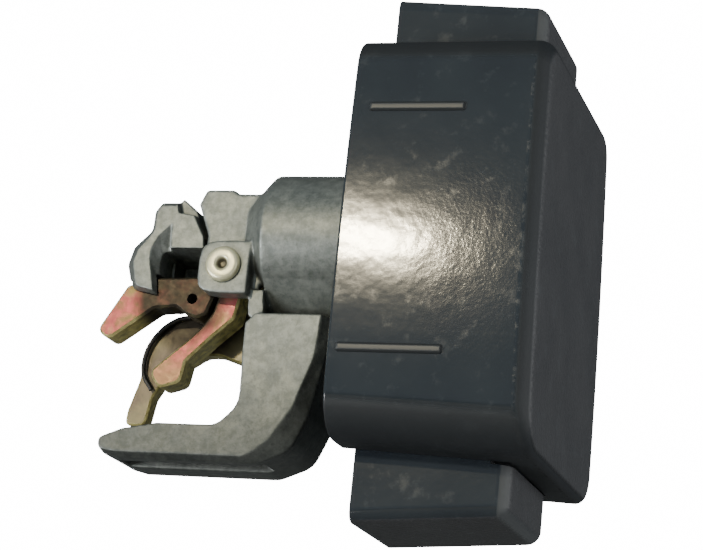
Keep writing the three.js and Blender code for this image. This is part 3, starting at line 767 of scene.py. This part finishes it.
def return_spring():
    """The push pad's return spring, a round wire wound round the barrel's axis."""
    start, end, radius = SPRING["start"], SPRING["end"], SPRING["radius"]
    steps = SPRING["turns"] * SPRING["steps_per_turn"]
    points = []
    for i in range(steps + 1):
        angle = 2 * math.pi * SPRING["turns"] * i / steps
        station = start + (end - start) * i / steps
        points.append(mm(station, radius * math.cos(angle), radius * math.sin(angle)))
    piece = wire("return_spring_fine", points, SPRING["wire"] * MM, SPRING_STEEL)
    stand_in(piece, "return_spring", "lock")
    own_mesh(piece)


# ------------------------------------------------------------------ pieces

cast("lock_body", "lock", ZINC, voxel_mm=0.22, rounds=5)
cast("release_lever", "claw", ZINC, voxel_mm=0.14, rounds=4)
edged("claw_fork", "claw", YELLOW, width_mm=0.75, segments=5)
edged("claw_hook", "claw", YELLOW_DULL, width_mm=0.45, segments=4)
edged("guide_bar", "lock", BAR_PLASTIC, width_mm=0.3, segments=3)
push_pad()
edged("claw_spring", "claw", BLACK_WIRE, width_mm=0.0, segments=1)
lathed("pivot_rivet", "lock", RIVET_ZINC, "Y", RIVET, [
    (-8.10, 0), (-8.15, 0.40), (-8.85, 0.85), (-8.98, 1.05), (-9.0, 1.3), (-9.0, 1.95), (-8.94, 2.25),
    (-8.76, 2.50), (-8.5, 2.65), (-8.1, 2.65), (-8.1, 2.0), (8.1, 2.0), (8.1, 0),
])
lathed("rivet_collar", "lock", RIVET_ZINC, "Y", RIVET, [
    (8.2, 0), (8.2, 3.1), (8.3, 3.2), (8.9, 3.2), (9.15, 3.05), (9.4, 2.7), (9.5, 2.2), (9.5, 0),
])
lathed("hub_bush", "claw", BRIGHT, "Y", RIVET, ring_profile(-4.5, 4.5, 2.3, 3.1, 0.1))
lathed("pawl_pin", "lock", BRIGHT, "Y", PAWL_PIN, [
    (-4.2, 0), (-4.2, 0.92), (-4.12, 1.04), (-4.0, 1.1), (4.0, 1.1), (4.12, 1.04), (4.2, 0.92), (4.2, 0),
])
WASHER = ring_profile(4.7, 5.3, 8.3, 9.2, 0.12)
lathed("barrel_washer", "lock", BRIGHT, "X", BARREL_AXIS, WASHER)
CUP = ring_profile(15.7, 16.3, 3.3, 5.8, 0.12)
lathed("spring_cup", "button", BRIGHT, "X", BARREL_AXIS, CUP)
lathed("plunger", "button", BRIGHT, "X", BARREL_AXIS, [
    (-16.4, 0), (-16.4, 1.6), (-16.3, 1.8), (-15.2, 3.0), (16.5, 3.0), (16.5, 5.85), (16.65, 6.0),
    (18.35, 6.0), (18.5, 5.85), (18.5, 2.4), (19.35, 2.4), (19.5, 2.25), (19.5, 0),
])
edged("barrel_nut", "lock", BRIGHT, width_mm=0.25, segments=3)
for node in ("stop_screw_upper", "stop_screw_lower"):
    edged(node, "lock", BRIGHT, width_mm=0.08, segments=2)
edged("pawl", "pawl", BRIGHT, width_mm=0.2, segments=3)
edged("pawl_spring", "pawl", SPRING_STEEL, width_mm=0.0, segments=1)
for node in ("stop_clip_near", "stop_clip_far"):
    edged(node, "button", SPRING_STEEL, width_mm=0.12, segments=2)
for node in ("bumper_upper", "bumper_lower"):
    edged(node, "lock", RUBBER, width_mm=0.25, segments=3)
return_spring()

# ------------------------------------------------------------------ floor, lights and camera

FLOOR = {"height": -0.125, "half_size": 2.0}
SKY = {
    "colour": (0.84, 0.95, 1.0, 1), "towards": (-0.38, -0.85, 0.36), "away": -0.35, "facing": 0.95,
    "dim": 0.075, "bright": 0.44, "seen": 16.0,
}
KEY_DIRECTION = Vector((-0.305, -0.92, 0.272))      # from the middle of the pad's side to the key light
KEY_DISTANCE = 0.8
CAMERA = {
    "azimuth": 18.05, "elevation": -15.31, "roll": 5.88, "lens": 120.6, "sensor": 36.0, "near": 0.01,
    "place": (99.0, -318.6, -96.5),
}


def floor():
    bm = bmesh.new()
    bmesh.ops.create_grid(bm, x_segments=4, y_segments=4, size=FLOOR["half_size"])
    bmesh.ops.translate(bm, vec=(0, 0, FLOOR["height"]), verts=bm.verts)
    piece = object_from_bmesh("floor", bm)
    g = Graph("pale_floor")
    tone = g.noise(60.0, 2.0, 0.5)
    colour = g.ramp(tone, (0.3, grey(0.42)), (0.7, grey(0.46)))
    give_material(piece, g.finish(Base_Color=colour, Roughness=0.85))


def world():
    """Soft sky light from above and from the camera's left; the camera itself sees a pale backdrop."""
    made = bpy.data.worlds.new("studio")
    bpy.context.scene.world = made
    made.use_nodes = True
    nodes, links = made.node_tree.nodes, made.node_tree.links
    sky = nodes["Background"]
    sky.inputs["Color"].default_value = SKY["colour"]
    direction = nodes.new("ShaderNodeTexCoord")
    towards = nodes.new("ShaderNodeVectorMath")
    towards.operation = "DOT_PRODUCT"
    towards.inputs[1].default_value = SKY["towards"]
    level = nodes.new("ShaderNodeMapRange")
    level.interpolation_type = "SMOOTHSTEP"
    level.inputs["From Min"].default_value = SKY["away"]
    level.inputs["From Max"].default_value = SKY["facing"]
    level.inputs["To Min"].default_value = SKY["dim"]
    level.inputs["To Max"].default_value = SKY["bright"]
    links.new(direction.outputs["Generated"], towards.inputs[0])
    links.new(towards.outputs["Value"], level.inputs["Value"])
    links.new(level.outputs[0], sky.inputs["Strength"])
    seen = nodes.new("ShaderNodeBackground")
    seen.inputs["Color"].default_value = grey(1)
    seen.inputs["Strength"].default_value = SKY["seen"]
    path = nodes.new("ShaderNodeLightPath")
    either = nodes.new("ShaderNodeMixShader")
    links.new(path.outputs["Is Camera Ray"], either.inputs[0])
    links.new(sky.outputs[0], either.inputs[1])
    links.new(seen.outputs[0], either.inputs[2])
    links.new(either.outputs[0], nodes["World Output"].inputs["Surface"])


def area_light(name, place, target, size, power, color=(1, 1, 1), roll=0.0):
    """A rectangular lamp of the given size in metres and power in watts that shines at the target."""
    data = bpy.data.lights.new(name, "AREA")
    data.shape = "RECTANGLE"
    data.size, data.size_y = size
    data.energy = power
    data.color = color
    lamp = bpy.data.objects.new(name, data)
    bpy.context.scene.collection.objects.link(lamp)
    lamp.location = place
    aim = (target - place).to_track_quat("-Z", "Y").to_matrix()
    lamp.rotation_euler = (aim @ Matrix.Rotation(math.radians(roll), 3, "Z")).to_euler()


def camera():
    azimuth, elevation = math.radians(CAMERA["azimuth"]), math.radians(CAMERA["elevation"])
    roll = math.radians(CAMERA["roll"])
    level = math.cos(elevation)
    forward = Vector((-math.sin(azimuth) * level, math.cos(azimuth) * level, -math.sin(elevation)))
    right = Vector((math.cos(azimuth), math.sin(azimuth), 0))
    up = right.cross(forward)
    rolled_right = right * math.cos(roll) + up * math.sin(roll)
    rolled_up = up * math.cos(roll) - right * math.sin(roll)
    axes = Matrix((rolled_right, rolled_up, -forward)).transposed().to_4x4()
    data = bpy.data.cameras.new("camera")
    data.sensor_width = CAMERA["sensor"]
    data.lens = CAMERA["lens"]
    data.clip_start = CAMERA["near"]
    made = bpy.data.objects.new("camera", data)
    bpy.context.scene.collection.objects.link(made)
    made.matrix_world = Matrix.Translation(mm(*CAMERA["place"])) @ axes
    bpy.context.scene.camera = made


floor()
world()
KEY_PLACE = PAD_MIDDLE + KEY_DIRECTION * KEY_DISTANCE
area_light("key", KEY_PLACE, PAD_MIDDLE, (0.054, 0.016), power=2.0, color=(1.0, 0.87, 0.60), roll=-12)
area_light("low", mm(-260, -230, -105), mm(-20, 0, -30), (0.14, 0.10), power=1.0)
area_light("front", mm(430, -120, -110), mm(20, 0, -5), (0.6, 0.6), power=3.4)
camera()
